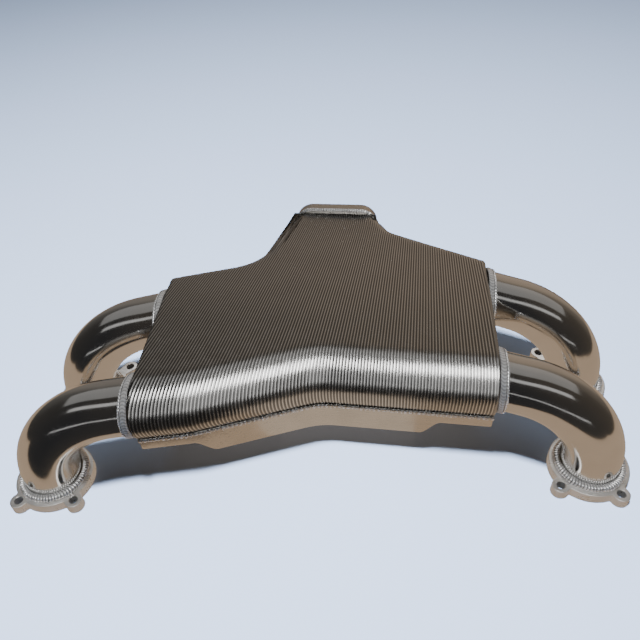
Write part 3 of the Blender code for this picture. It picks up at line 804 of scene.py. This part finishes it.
def flange_weld(name, side, row, finish, seed):
    """The fillet weld around a runner's foot, laid as a row of overlapping ripples."""
    base = port_centre(side, row) + UP * (FLANGE_THICKNESS + GAP)
    steps = 12
    count = FLANGE_WELD_RIPPLES * RIPPLE_SAMPLES

    def spot(k, p):
        angle = math.tau * k / count
        spoke = Vector((math.cos(angle), math.sin(angle), 0))
        if p == 0:
            return base + spoke * WELD_BORE, 0.5
        share = (p - 1) / steps
        turn = math.pi / 2 * share
        height = bead_height(angle, 2 * share - 1, math.tau / FLANGE_WELD_RIPPLES, seed)
        swell = 1 + 0.05 * math.sin(angle * 5 + seed) + 0.03 * math.sin(angle * 11 + 2 * seed)
        reach = (0.72 + 0.24 * height * math.sin(math.pi * share) ** 0.5) * swell
        out = FLANGE_WELD_WIDTH * min(reach * math.cos(turn) ** 0.9, 1)
        up = FLANGE_WELD_HEIGHT * min(reach * math.sin(turn) ** 0.9, 1)
        return base + spoke * (WELD_BORE + out) + UP * up, min(height, 1)

    return bead(name, count, steps + 2, spot, finish)


def entry_spokes(side, row, angle, sides):
    """Where a runner meets the wall, its direction there, and unit spokes around it."""
    direction = runner_direction(side, angle)
    spokes = ring_points(Vector(), direction, UP.cross(direction), 1.0, sides)
    return runner_entry(side, row, angle), direction, spokes


def runner_collar(name, side, row, angle, finish, seed):
    """The rough weld land between a runner and the plenum's side wall."""
    sides = 480
    steps = 10
    entry, direction, spokes = entry_spokes(side, row, angle, sides)
    around = math.tau * COLLAR_RADIUS

    def spot(s, k):
        share = min(max(s - 1, 0) / steps, 1)
        radius, mark = WELD_BORE, 0.5
        if 0 < s < steps + 2:
            height = bead_height(around * k / sides, 2 * share - 1, around / COLLAR_RIPPLES, seed)
            edge = 1 - (2 * share - 1) ** 4
            radius = min(COLLAR_RADIUS - 1.0 + edge * (0.6 + 0.3 * height), COLLAR_RADIUS)
            mark = min(height, 1)
        out = GAP + (COLLAR_LENGTH - GAP) * share
        return slide_to_wall(entry + spokes[k] * radius, direction, side, out), mark

    return bead(name, steps + 3, sides, spot, finish)


def runner_weld(name, side, row, angle, finish, seed):
    """The bright ridge in the corner between the land and the tube."""
    sides = 360
    steps = 8
    entry, direction, spokes = entry_spokes(side, row, angle, sides)

    def spot(p, k):
        turn = math.pi / 2 * max(p - 1, 0) / steps
        around = math.tau * k / sides
        height = bead_height(around, math.cos(turn), math.tau / RIDGE_RIPPLES, seed)
        size = WELD_RIDGE * min(0.84 + 0.06 * math.sin(7 * around + seed) + 0.10 * height, 1)
        radius = WELD_BORE + (0 if p == 0 else size * math.cos(turn))
        out = COLLAR_LENGTH + GAP + size * math.sin(turn)
        return slide_to_wall(entry + spokes[k] * radius, direction, side, out), 0.5 + 0.5 * min(height, 1)

    return bead(name, steps + 2, sides, spot, finish)


def smoothed(points, sigma, spacing):
    """A closed outline at an even spacing, with its corners blended."""
    loop = np.vstack([points, points[:1]])
    length = arc_length(loop)
    count = int(length[-1] / spacing)
    even = sampled(loop, length, np.arange(count) * length[-1] / count)
    reach = int(4 * sigma / spacing)
    weights = np.exp(-0.5 * (np.arange(-reach, reach + 1) * spacing / sigma) ** 2)
    weights /= weights.sum()
    return sum(w * np.roll(even, k, axis=0) for w, k in zip(weights, range(-reach, reach + 1)))


def flange_outline(row):
    """A port flange's lugged outline around the port."""
    angles = np.radians(np.arange(0, 360, 0.05))
    radius = np.full(len(angles), FLANGE_RADIUS)
    for u, v in LUGS[row]:
        distance = math.hypot(u, v)
        turn = angles - math.atan2(v, u)
        across = distance * np.sin(turn)
        inside = (np.abs(across) < LUG_RADIUS) & (np.cos(turn) > 0)
        reach = distance * np.cos(turn) + np.sqrt(np.where(inside, LUG_RADIUS ** 2 - across ** 2, 0))
        radius = np.where(inside, np.maximum(radius, reach), radius)
    points = np.stack([np.cos(angles) * radius, np.sin(angles) * radius], 1)
    return smoothed(points, 1.3, 0.9)


def port_flange(name, side, row, finish):
    """A lugged plate with the port's bore and clearance holes for the head's studs."""
    centre = port_centre(side, row)
    edge = flange_outline(row)
    normal = loop_normals(edge)
    around = spokes_to(edge)
    mirror = np.array([side, 1])
    edge_round = 0.8

    def level(points, z):
        flat = points * mirror + np.array([centre.x, centre.y])
        return np.column_stack([flat, np.full(len(flat), z)])

    top = FLANGE_THICKNESS
    rings = [level(around * TUBE_BORE, 0.5), level(around * (TUBE_BORE + 0.5), 0),
             level(edge - normal * 0.4, 0), level(edge, 0.4)]
    for k in range(5):
        bend = math.pi / 2 * k / 4
        inset = edge_round * (1 - math.cos(bend))
        rings.append(level(edge - normal * inset, top - edge_round * (1 - math.sin(bend))))
    rings += [level(around * (TUBE_BORE + 0.4), top), level(around * TUBE_BORE, top - 0.4)]
    plate = to_object(name, [loft(rings, endless=True)], finish, smooth_angle=30)
    holes = []
    for u, v in LUGS[row]:
        foot = (centre.x + side * u, centre.y + v, 0)
        lead = 0.6
        holes.append(turned(foot, (0, 0, 1), [
            (-1, LUG_HOLE_RADIUS + lead + 1), (lead, LUG_HOLE_RADIUS), (top - lead, LUG_HOLE_RADIUS),
            (top + 1, LUG_HOLE_RADIUS + lead + 1)], 40))
    cut(plate, holes, smooth_angle=30)
    return plate


def throttle_flange(finish):
    """A rounded plate with the throttle's bore and four threaded holes, faced square to Y."""
    front = NECK_END_Y + GAP
    back = front + THROTTLE_DEPTH
    centre = np.array([THROTTLE_X, THROTTLE_Z])
    around = spokes_to(throttle_outline() - centre)

    def rim(inset, y):
        return level(throttle_outline(inset), y)

    def bore(past, y):
        return level(centre + around * (THROTTLE_BORE + past), y)

    def level(points, y):
        return np.column_stack([points[:, 0], np.full(len(points), y), points[:, 1]])

    seal_groove = [bore(5.6, back), bore(5.4, back - 1.8), bore(3.1, back - 1.8), bore(2.9, back)]
    rings = [bore(0, front + 0.6), bore(0.6, front), rim(0.6, front), rim(0, front + 0.6), rim(0, back - 1),
             rim(0.3, back - 0.3), rim(1, back), *seal_groove, bore(0.8, back), bore(0, back - 0.8)]
    plate = to_object("throttle_plate", [loft(rings, endless=True)], finish, smooth_angle=30)
    holes = []
    for sx, sz in QUARTERS:
        mouth = (THROTTLE_X + sx * THROTTLE_HOLE[0], back, THROTTLE_Z + sz * THROTTLE_HOLE[1])
        holes.append(turned(mouth, (0, -1, 0), [
            (-1, THROTTLE_HOLE_RADIUS + 1.6), (0.6, THROTTLE_HOLE_RADIUS),
            (THROTTLE_HOLE_DEPTH - 1.4, THROTTLE_HOLE_RADIUS), (THROTTLE_HOLE_DEPTH, 0.2)], 32))
    cut(plate, holes, smooth_angle=30)
    return plate


def throttle_weld(name, finish, seed):
    """The rippled bead around the throttle flange, in its corner with the neck's end."""
    front = NECK_END_Y + GAP
    path = smoothed(throttle_outline(steps=8), 0.8, THROTTLE_STEP)
    outward = loop_normals(path)
    steps = 8

    def spot(k, p):
        share = max(p - 1, 0) / steps
        turn = math.pi / 2 * share
        height = bead_height(k * THROTTLE_STEP, 2 * share - 1, THROTTLE_RIPPLE, seed)
        size = THROTTLE_WELD * (0.84 + 0.13 * height)
        x, z = path[k] + outward[k] * (GAP if p == 0 else max(size * math.cos(turn), GAP))
        return (x, front + (0 if p == 0 else size * math.sin(turn)), z), min(height, 1)

    return bead(name, len(path), steps + 2, spot, finish)


def resampled(path, spacing):
    """A plan path of (point, outward) at an even spacing."""
    points = np.array([tuple(point) for point, out in path])
    outs = np.array([tuple(out) for point, out in path])
    length = arc_length(points)
    at = np.linspace(0, length[-1], int(length[-1] / spacing))
    return at, sampled(points, length, at), unit_rows(sampled(outs, length, at))


def seam_bead(name, path, profile, finish, seed, size):
    """A weld bead along the seam: profile holds (outward, up) offsets of its crown, whose middle carries the
    ripples, from the lower toe to the upper one."""
    pitch, depth = size
    at, spots, away = resampled(path, pitch / RIPPLE_SAMPLES)
    profile = np.array(profile, float)
    length = arc_length(profile)
    fine = sampled(profile, length, np.linspace(0, length[-1], 15))

    def spot(k, p):
        across = 2 * p / (len(fine) - 1) - 1
        height = bead_height(at[k], across, pitch, seed)
        drop = depth * (1 - height) * (1 - across ** 4)
        reach, up = fine[p]
        x, y = spots[k] + away[k] * max(reach - drop, GAP)
        return (x, y, SEAM_Z + up), min(height, 1)

    return bead(name, len(at), len(fine), spot, finish, endless=False)


def seam_beads(plan, finish):
    """Beads along the front, both sides and both rear edges of the seam."""
    seam_inset = bullnose_inset(TOP_FRONT - SEAM_Z, FRONT_ROUND)
    last = len(plan.front) - 1
    front = []
    for i, point in enumerate(plan.front):
        inward = plan.inward(plan.front, i, 1, 0, last)
        spot = point + inward * seam_inset
        if wall_x(-1, spot.y) + 0.5 < spot.x < wall_x(1, spot.y) - 0.5:
            front.append((spot, -inward))
    for i, beside, side in ((0, 1, -1), (-1, -2, 1)):
        slope = front[i][0] - front[beside][0]
        front[i] = (reach_wall(front[beside][0], slope, side, 0), front[i][1])
    beads = {"seam_weld_front": seam_bead("seam_bead_front", front, FRONT_PROFILE, finish, 3, FRONT_RIPPLE)}
    paths = {}
    for side, wall in ((-1, "left"), (1, "right")):
        start = runner_entry(*RUNNERS["front_" + wall]).y + COLLAR_RADIUS * COLLAR_CLEAR
        end = runner_entry(*RUNNERS["rear_" + wall]).y - COLLAR_RADIUS * COLLAR_CLEAR
        paths[wall] = [(wall_spot(side, y), wall_plane(side)[1]) for y in (start, end)], 5 + side
    for wall, low, high in (("rear_left", 0, plan.neck_left), ("rear_right", plan.neck_right, last)):
        rear = [(plan.rear[i], -plan.inward(plan.rear, i, -1, low, high)) for i in range(low, high + 1)]
        paths[wall] = rear, low + 9
    for wall, (path, seed) in paths.items():
        beads["seam_weld_" + wall] = seam_bead(
            "seam_bead_" + wall, path, SEAM_PROFILE, finish, seed, SEAM_RIPPLE)
    return beads


# ---- materials
def new_material(name):
    made = bpy.data.materials.new(name)
    made.use_nodes = True
    return made


def add_node(tree, kind, output, inputs, **settings):
    """Adds a shader node and gives one of its outputs; each input takes a value or another node's output."""
    made = tree.nodes.new("ShaderNode" + kind)
    for key, value in settings.items():
        setattr(made, key, value)
    for key, value in inputs.items():
        if isinstance(value, bpy.types.NodeSocket):
            tree.links.new(value, made.inputs[key])
        else:
            made.inputs[key].default_value = value
    return made.outputs[output] if output else None


def to_range(tree, value, from_low, from_high, low, high):
    return add_node(tree, "MapRange", "Result", {
        "Value": value, "From Min": from_low, "From Max": from_high, "To Min": low, "To Max": high})


def mixed(tree, amount, first, second, blend="MIX"):
    return add_node(tree, "Mix", "Result", {"Factor": amount, "A": first, "B": second},
                    data_type="RGBA", blend_type=blend)


def metal(name, colour, roughness, streak_axis=None, streaks=0.0, mottle=0.06, grain=0.0, grain_scale=900.0,
          wave=0.0, wave_scale=25.0, metallic=1.0, painted_shade_off_crests=None):
    """Bare aluminium: colour and roughness vary in soft patches; streaks are fine tool or polishing marks
    drawn out along one axis; grain is a fine all-over bump and wave a broad, faint unevenness; the last
    argument is how bright the colour is painted away from the crests that the mesh marks, a painted shade
    between the crests that leaves the crests as painted highlights."""
    made = new_material(name)
    tree = made.node_tree
    shader = tree.nodes["Principled BSDF"].inputs
    shader["Metallic"].default_value = metallic
    place_in = add_node(tree, "TexCoord", "Object", {})

    def noise(scale, detail, source=place_in):
        return add_node(tree, "TexNoise", "Fac", {"Vector": source, "Scale": scale, "Detail": detail})

    dark = [c * (1 - mottle) for c in colour]
    light = [min(c * (1 + mottle), 1) for c in colour]
    tone = mixed(tree, to_range(tree, noise(38.0, 3.0), 0.3, 0.7, 0, 1), (*dark, 1), (*light, 1))
    # Painted light: the colour is multiplied down away from the marked crests, so the grooves carry painted
    # shade and the crests painted highlights.
    if painted_shade_off_crests is not None:
        near = add_node(tree, "Attribute", "Fac", {}, attribute_name=CREST)
        painted_light_by_crest = mixed(tree, near, (painted_shade_off_crests, painted_shade_off_crests, painted_shade_off_crests, 1), (1, 1, 1, 1))
        tone = mixed(tree, 1.0, tone, painted_light_by_crest, "MULTIPLY")
    tree.links.new(tone, shader["Base Color"])
    rough = to_range(tree, noise(95.0, 5.0), 0.3, 0.7, roughness * 0.82, roughness * 1.2)
    heights = []
    if streaks:
        stretch = [900.0, 900.0, 900.0]
        stretch["XYZ".index(streak_axis)] = 14.0
        marks = noise(1.0, 2.0, add_node(tree, "Mapping", "Vector", {"Vector": place_in, "Scale": stretch}))
        heights.append((marks, streaks))
        change = to_range(tree, marks, 0.3, 0.7, -0.25 * roughness, 0.25 * roughness)
        rough = add_node(tree, "Math", "Value", {0: rough, 1: change}, operation="ADD")
    tree.links.new(rough, shader["Roughness"])
    if grain:
        heights.append((noise(grain_scale, 4.0), grain))
    if wave:
        heights.append((noise(wave_scale, 1.0), wave))
    normal = None
    for height, distance in heights:
        inputs = {"Strength": 1.0, "Distance": distance * MM, "Height": height}
        if normal is not None:
            inputs["Normal"] = normal
        normal = add_node(tree, "Bump", "Normal", inputs)
    if normal is not None:
        tree.links.new(normal, shader["Normal"])
    return made


# The top's bright base colour, darkened between the marked cusps, paints thin highlights along the cusps and
# shade in the grooves.
ribbed_metal = metal("machined_top", (0.96, 0.95, 0.93), 0.26, mottle=0.03, painted_shade_off_crests=0.17)
core_metal = metal("machined_walls", (0.62, 0.60, 0.57), 0.34, "Z", streaks=0.02, grain=0.01)
smooth_metal = metal("smooth_lower", (0.72, 0.69, 0.65), 0.24, "X", streaks=0.004, wave=0.15, wave_scale=30.0)
polished_metal = metal("polished_tube", (0.76, 0.75, 0.73), 0.13, mottle=0.03, grain=0.0012,
                       grain_scale=700.0, wave=0.10, wave_scale=34.0)
throttle_metal = metal("machined_throttle_plate", (0.68, 0.65, 0.61), 0.30, "X", streaks=0.012, grain=0.004)
flange_metal = metal("machined_flange", (0.80, 0.78, 0.75), 0.34, "X", streaks=0.012, grain=0.004,
                     metallic=0.93)
# The beads and the rough land are painted darker between their ripples' crests: painted shade in the low
# parts of the ripples.
bead_metal = metal("weld_bead", (0.92, 0.92, 0.92), 0.24, mottle=0.08, metallic=0.88, painted_shade_off_crests=0.22)
seam_metal = metal("seam_bead", (0.80, 0.77, 0.73), 0.28, mottle=0.05, metallic=0.92, painted_shade_off_crests=0.5)
land_metal = metal("rough_land", (0.60, 0.60, 0.60), 0.40, grain=0.04, grain_scale=600.0, mottle=0.2,
                   metallic=0.85, painted_shade_off_crests=0.45)

# ---- the object
plan = Plan()
upper_core = to_object("upper_body", [shell(
    plan,
    [upper_level(plan, CORE_DEPTH, 0, wall_share=share) for share in (0, 0.5, 1)]
    + [upper_level(plan, CORE_DEPTH, 0, angle=a) for a in (9, 18, 27, 36, 45, 54, 63, 72, 81, 90)],
    [upper_level(plan, WALL, WALL, wall_share=0)]
    + [upper_level(plan, WALL, WALL, angle=a) for a in (0, 15, 30, 45, 60, 75, 90)],
    lambda p: top_height(p.y) - CORE_DEPTH, lambda p: top_height(p.y) - WALL)], core_metal)
hole_profile = [(-25, TUBE_BORE), (25, TUBE_BORE)]
runner_holes = [turned(runner_entry(*run), runner_direction(run[0], run[2]), hole_profile, TUBE_SIDES)
                for run in RUNNERS.values()]
cut(upper_core, runner_holes + [neck_passage()])
place(upper_core, "machined_aluminium", "plenum_upper_shell")
skin = to_object("machined_skin", [machined_skin()], ribbed_metal, smooth_angle=42)
mark_cusps(skin)
place(skin, "machined_aluminium", "plenum_upper_shell")

lower = to_object("lower_body", [shell(
    plan,
    [lower_level(plan, 0, share=share) for share in (0, 0.5, 1)]
    + [lower_level(plan, 0, angle=a) for a in range(10, 91, 10)],
    [lower_level(plan, WALL, share=share) for share in (0, 1)]
    + [lower_level(plan, WALL, angle=a) for a in (22, 45, 67, 90)],
    lambda p: bottom_height(p.x), lambda p: bottom_height(p.x) + WALL)], smooth_metal, smooth_angle=30)
cut(lower, [neck_passage()], smooth_angle=30)
place(lower, "smooth_aluminium", "plenum_lower_shell")

tubes = []
welds_and_flanges = []
for number, (where, run) in enumerate(RUNNERS.items()):
    side, row, angle = run
    tube = runner("tube_" + where, *run, polished_metal)
    collar = runner_collar("collar_" + where, *run, land_metal, 10 + number)
    ridge = runner_weld("ridge_" + where, *run, bead_metal, 20 + number)
    lugged = port_flange("lugged_" + where, side, row, flange_metal)
    foot_bead = flange_weld("foot_bead_" + where, side, row, bead_metal, 30 + number)
    place(tube, "polished_aluminium", "runner_" + where)
    place(collar, "weld_bead", "runner_collar_" + where)
    place(ridge, "weld_bead", "runner_weld_" + where)
    place(lugged, "flange_aluminium", "port_flange_" + where)
    place(foot_bead, "weld_bead", "flange_weld_" + where)
    tubes.append(tube)
    welds_and_flanges += [ridge, lugged, foot_bead]
place(throttle_flange(throttle_metal), "flange_aluminium", "throttle_flange")
place(throttle_weld("throttle_bead", bead_metal, 40), "weld_bead", "throttle_flange_weld")
for node, piece in seam_beads(plan, seam_metal).items():
    place(piece, "weld_bead", node)

# ---- floor, camera and light
BASE_Z = CAD_BOX[0][2]


def plain(name, colour):
    made = new_material(name)
    shader = made.node_tree.nodes["Principled BSDF"]
    shader.inputs["Base Color"].default_value = (*colour, 1)
    shader.inputs["Roughness"].default_value = 0.9
    return made


def glow(name, colour):
    made = new_material(name)
    tree = made.node_tree
    tree.nodes.clear()
    emission = add_node(tree, "Emission", "Emission", {"Color": (*colour, 1), "Strength": 1.0})
    add_node(tree, "OutputMaterial", None, {"Surface": emission})
    return made


def card(name, corners, lift, material, reflected_only=True):
    """A flat staged card through plan corners, lifted from the base's level. It shows in reflections alone,
    or everywhere but there."""
    mesh = bpy.data.meshes.new(name)
    mesh.from_pydata([(x, y, BASE_Z + lift) for x, y in corners], [], [tuple(range(len(corners)))])
    mesh.materials.append(material)
    made = new_object(name, mesh)
    made.visible_glossy = reflected_only
    if reflected_only:
        made.visible_camera = False
        made.visible_diffuse = False
        made.visible_shadow = False


def disc(name, x, y, radius, sides):
    """A dark round card, for the shade under a foot or a hole."""
    turns = [math.tau * k / sides for k in range(sides)]
    corners = [(x + radius * math.cos(a), y + radius * math.sin(a)) for a in turns]
    card(name, corners, -0.00005, dark_glow)


FOOT_SHADE = 0.036
HOLE_SHADE = 0.008
dark_glow = glow("dark_glow", (0.02, 0.02, 0.02))
# Each card lies a little lower than the ones that cover it.
card("floor", [(-7, -7), (7, -7), (7, 7), (-7, 7)], -0.0004, plain("pale_floor", (0.52, 0.67, 0.97)),
     reflected_only=False)
card("tan_floor", [(-0.9, -0.42), (-0.25, -0.215), (-0.06, -0.185), (0.0, -0.25), (0.07, -0.25),
                   (0.12, -0.165), (0.2, -0.31), (0.8, -0.42), (0.8, 0.3), (-0.8, 0.3)],
     -0.0002, glow("tan_glow", (0.46, 0.345, 0.245)))
card("bright_floor", [(-0.03, -0.25), (0.09, -0.25), (0.1, -0.05), (-0.05, -0.05)],
     -0.0001, glow("bright_glow", (0.56, 0.455, 0.36)))
for side, row, angle in RUNNERS.values():
    foot = port_centre(side, row) * MM + Vector((0, SHIFT_Y * MM, 0))
    for u, v in LUGS[row]:
        disc("under_hole", foot.x + side * u * MM, foot.y + v * MM, HOLE_SHADE, 12)
    disc("under_flange", foot.x, foot.y, FOOT_SHADE, 24)
card("brown_floor", [(-0.8, 0.3), (0.8, 0.3), (0.8, 1.2), (-0.8, 1.2)], -0.0002,
     glow("brown_glow", (0.22, 0.165, 0.125)))


def area_light(name, location, look_at, size, power, glossy=True, diffuse=True):
    data = bpy.data.lights.new(name, "AREA")
    data.shape = "RECTANGLE"
    data.size, data.size_y = size
    data.energy = power
    made = new_object(name, data)
    made.location = location
    made.rotation_euler = (Vector(look_at) - Vector(location)).to_track_quat("-Z", "Y").to_euler()
    made.visible_glossy = glossy
    made.visible_diffuse = diffuse
    return made


def floor_light(name, location, size, power):
    """A light on the floor, not seen in the metal."""
    area_light(name, location, (0, 0, 0), size, power, glossy=False)


def reflected_light(name, location, size, power, pieces=None):
    """A light that shows in the metal alone, and where pieces are given, in those pieces alone."""
    made = area_light(name, location, middle, size, power, diffuse=False)
    if pieces is not None:
        receivers = bpy.data.collections.new(name)
        for piece in pieces:
            receivers.objects.link(piece)
        made.light_linking.receiver_collection = receivers


def from_direction(azimuth, elevation, distance):
    """A point seen from the object's middle; azimuth 0 is the front, 90 the right."""
    a, e = math.radians(azimuth), math.radians(elevation)
    return middle + Vector((math.sin(a) * math.cos(e), -math.cos(a) * math.cos(e), math.sin(e))) * distance


middle = Vector((0, 0, 0.08))
floor_light("overhead", (0, 0.1, 2.0), (1.6, 1.2), 5.5)
floor_light("front_key", (-0.1, -0.42, 1.92), (0.2, 0.18), 116)
reflected_light("band", (0.33, -0.76, 1.49), (0.85, 0.8), 17.0, [skin])
reflected_light("band_glow", (0.25, -1.25, 1.0), (1.0, 2.4), 6.5, [skin])
reflected_light("band_high", from_direction(6, 96, 1.6), (1.1, 0.9), 1.5, [skin])
reflected_light("strip_front", from_direction(0, 56, 1.7), (3.0, 0.30), 1.3)
reflected_light("strip_low", from_direction(0, 6, 1.7), (3.0, 0.06), 0.45)
reflected_light("weld_front", from_direction(0, 55, 1.6), (1.6, 0.7), 13.0, welds_and_flanges)
reflected_light("weld_rear", from_direction(180, 42, 1.6), (2.0, 0.7), 6.0, welds_and_flanges)
reflected_light("tube_sky", from_direction(180, 78, 1.6), (4.4, 1.3), 3.4, tubes)

CAMERA_PLACE = (0.068176, -0.504976, 0.557912)
CAMERA_RIGHT = (0.9929, 0.1104, -0.0445)
CAMERA_AHEAD = (-0.1117, 0.7341, -0.6699)
camera_data = bpy.data.cameras.new("camera")
camera_data.lens = 35.549
camera_data.sensor_width = 36.0
camera_data.clip_start = 0.01
camera = new_object("camera", camera_data)
right = Vector(CAMERA_RIGHT).normalized()
ahead = Vector(CAMERA_AHEAD)
ahead = (ahead - right * ahead.dot(right)).normalized()
turn = Matrix((right, right.cross(ahead), -ahead)).transposed()
camera.matrix_world = Matrix.Translation(CAMERA_PLACE) @ turn.to_4x4()
bpy.context.scene.camera = camera

# The room: dark in front and above, lighter and browner to the rear, cooler to the left.
REAR_TONES = [(0.0, (0.03, 0.03, 0.032)), (0.5, (0.05, 0.046, 0.042)), (0.6, (0.06, 0.055, 0.05)),
              (0.77, (0.12, 0.11, 0.10)), (0.87, (0.25, 0.22, 0.19)), (0.95, (0.28, 0.24, 0.21)),
              (1.0, (0.32, 0.28, 0.24))]
world = bpy.data.worlds.new("studio")
bpy.context.scene.world = world
world.use_nodes = True
world.cycles_visibility.diffuse = False
tree = world.node_tree
tree.nodes.clear()
coordinates = add_node(tree, "TexCoord", "Generated", {})
to_rear = add_node(tree, "SeparateXYZ", "Y", {"Vector": coordinates})
to_right = add_node(tree, "SeparateXYZ", "X", {"Vector": coordinates})
tone = add_node(tree, "ValToRGB", "Color", {"Fac": to_range(tree, to_rear, -1.0, 1.0, 0.0, 1.0)})
elements = tone.node.color_ramp.elements
elements[0].color = (*REAR_TONES[0][1], 1)
elements[1].color = (*REAR_TONES[-1][1], 1)
for position, colour in REAR_TONES[1:-1]:
    elements.new(position).color = (*colour, 1)
tint = mixed(tree, to_range(tree, to_right, -0.4, 0.2, 0.0, 1.0), (0.72, 0.74, 0.76, 1), (1.22, 1.12, 1.0, 1))
background = add_node(tree, "Background", "Background", {"Color": mixed(tree, 1.0, tone, tint, "MULTIPLY")})
add_node(tree, "OutputWorld", None, {"Surface": background})
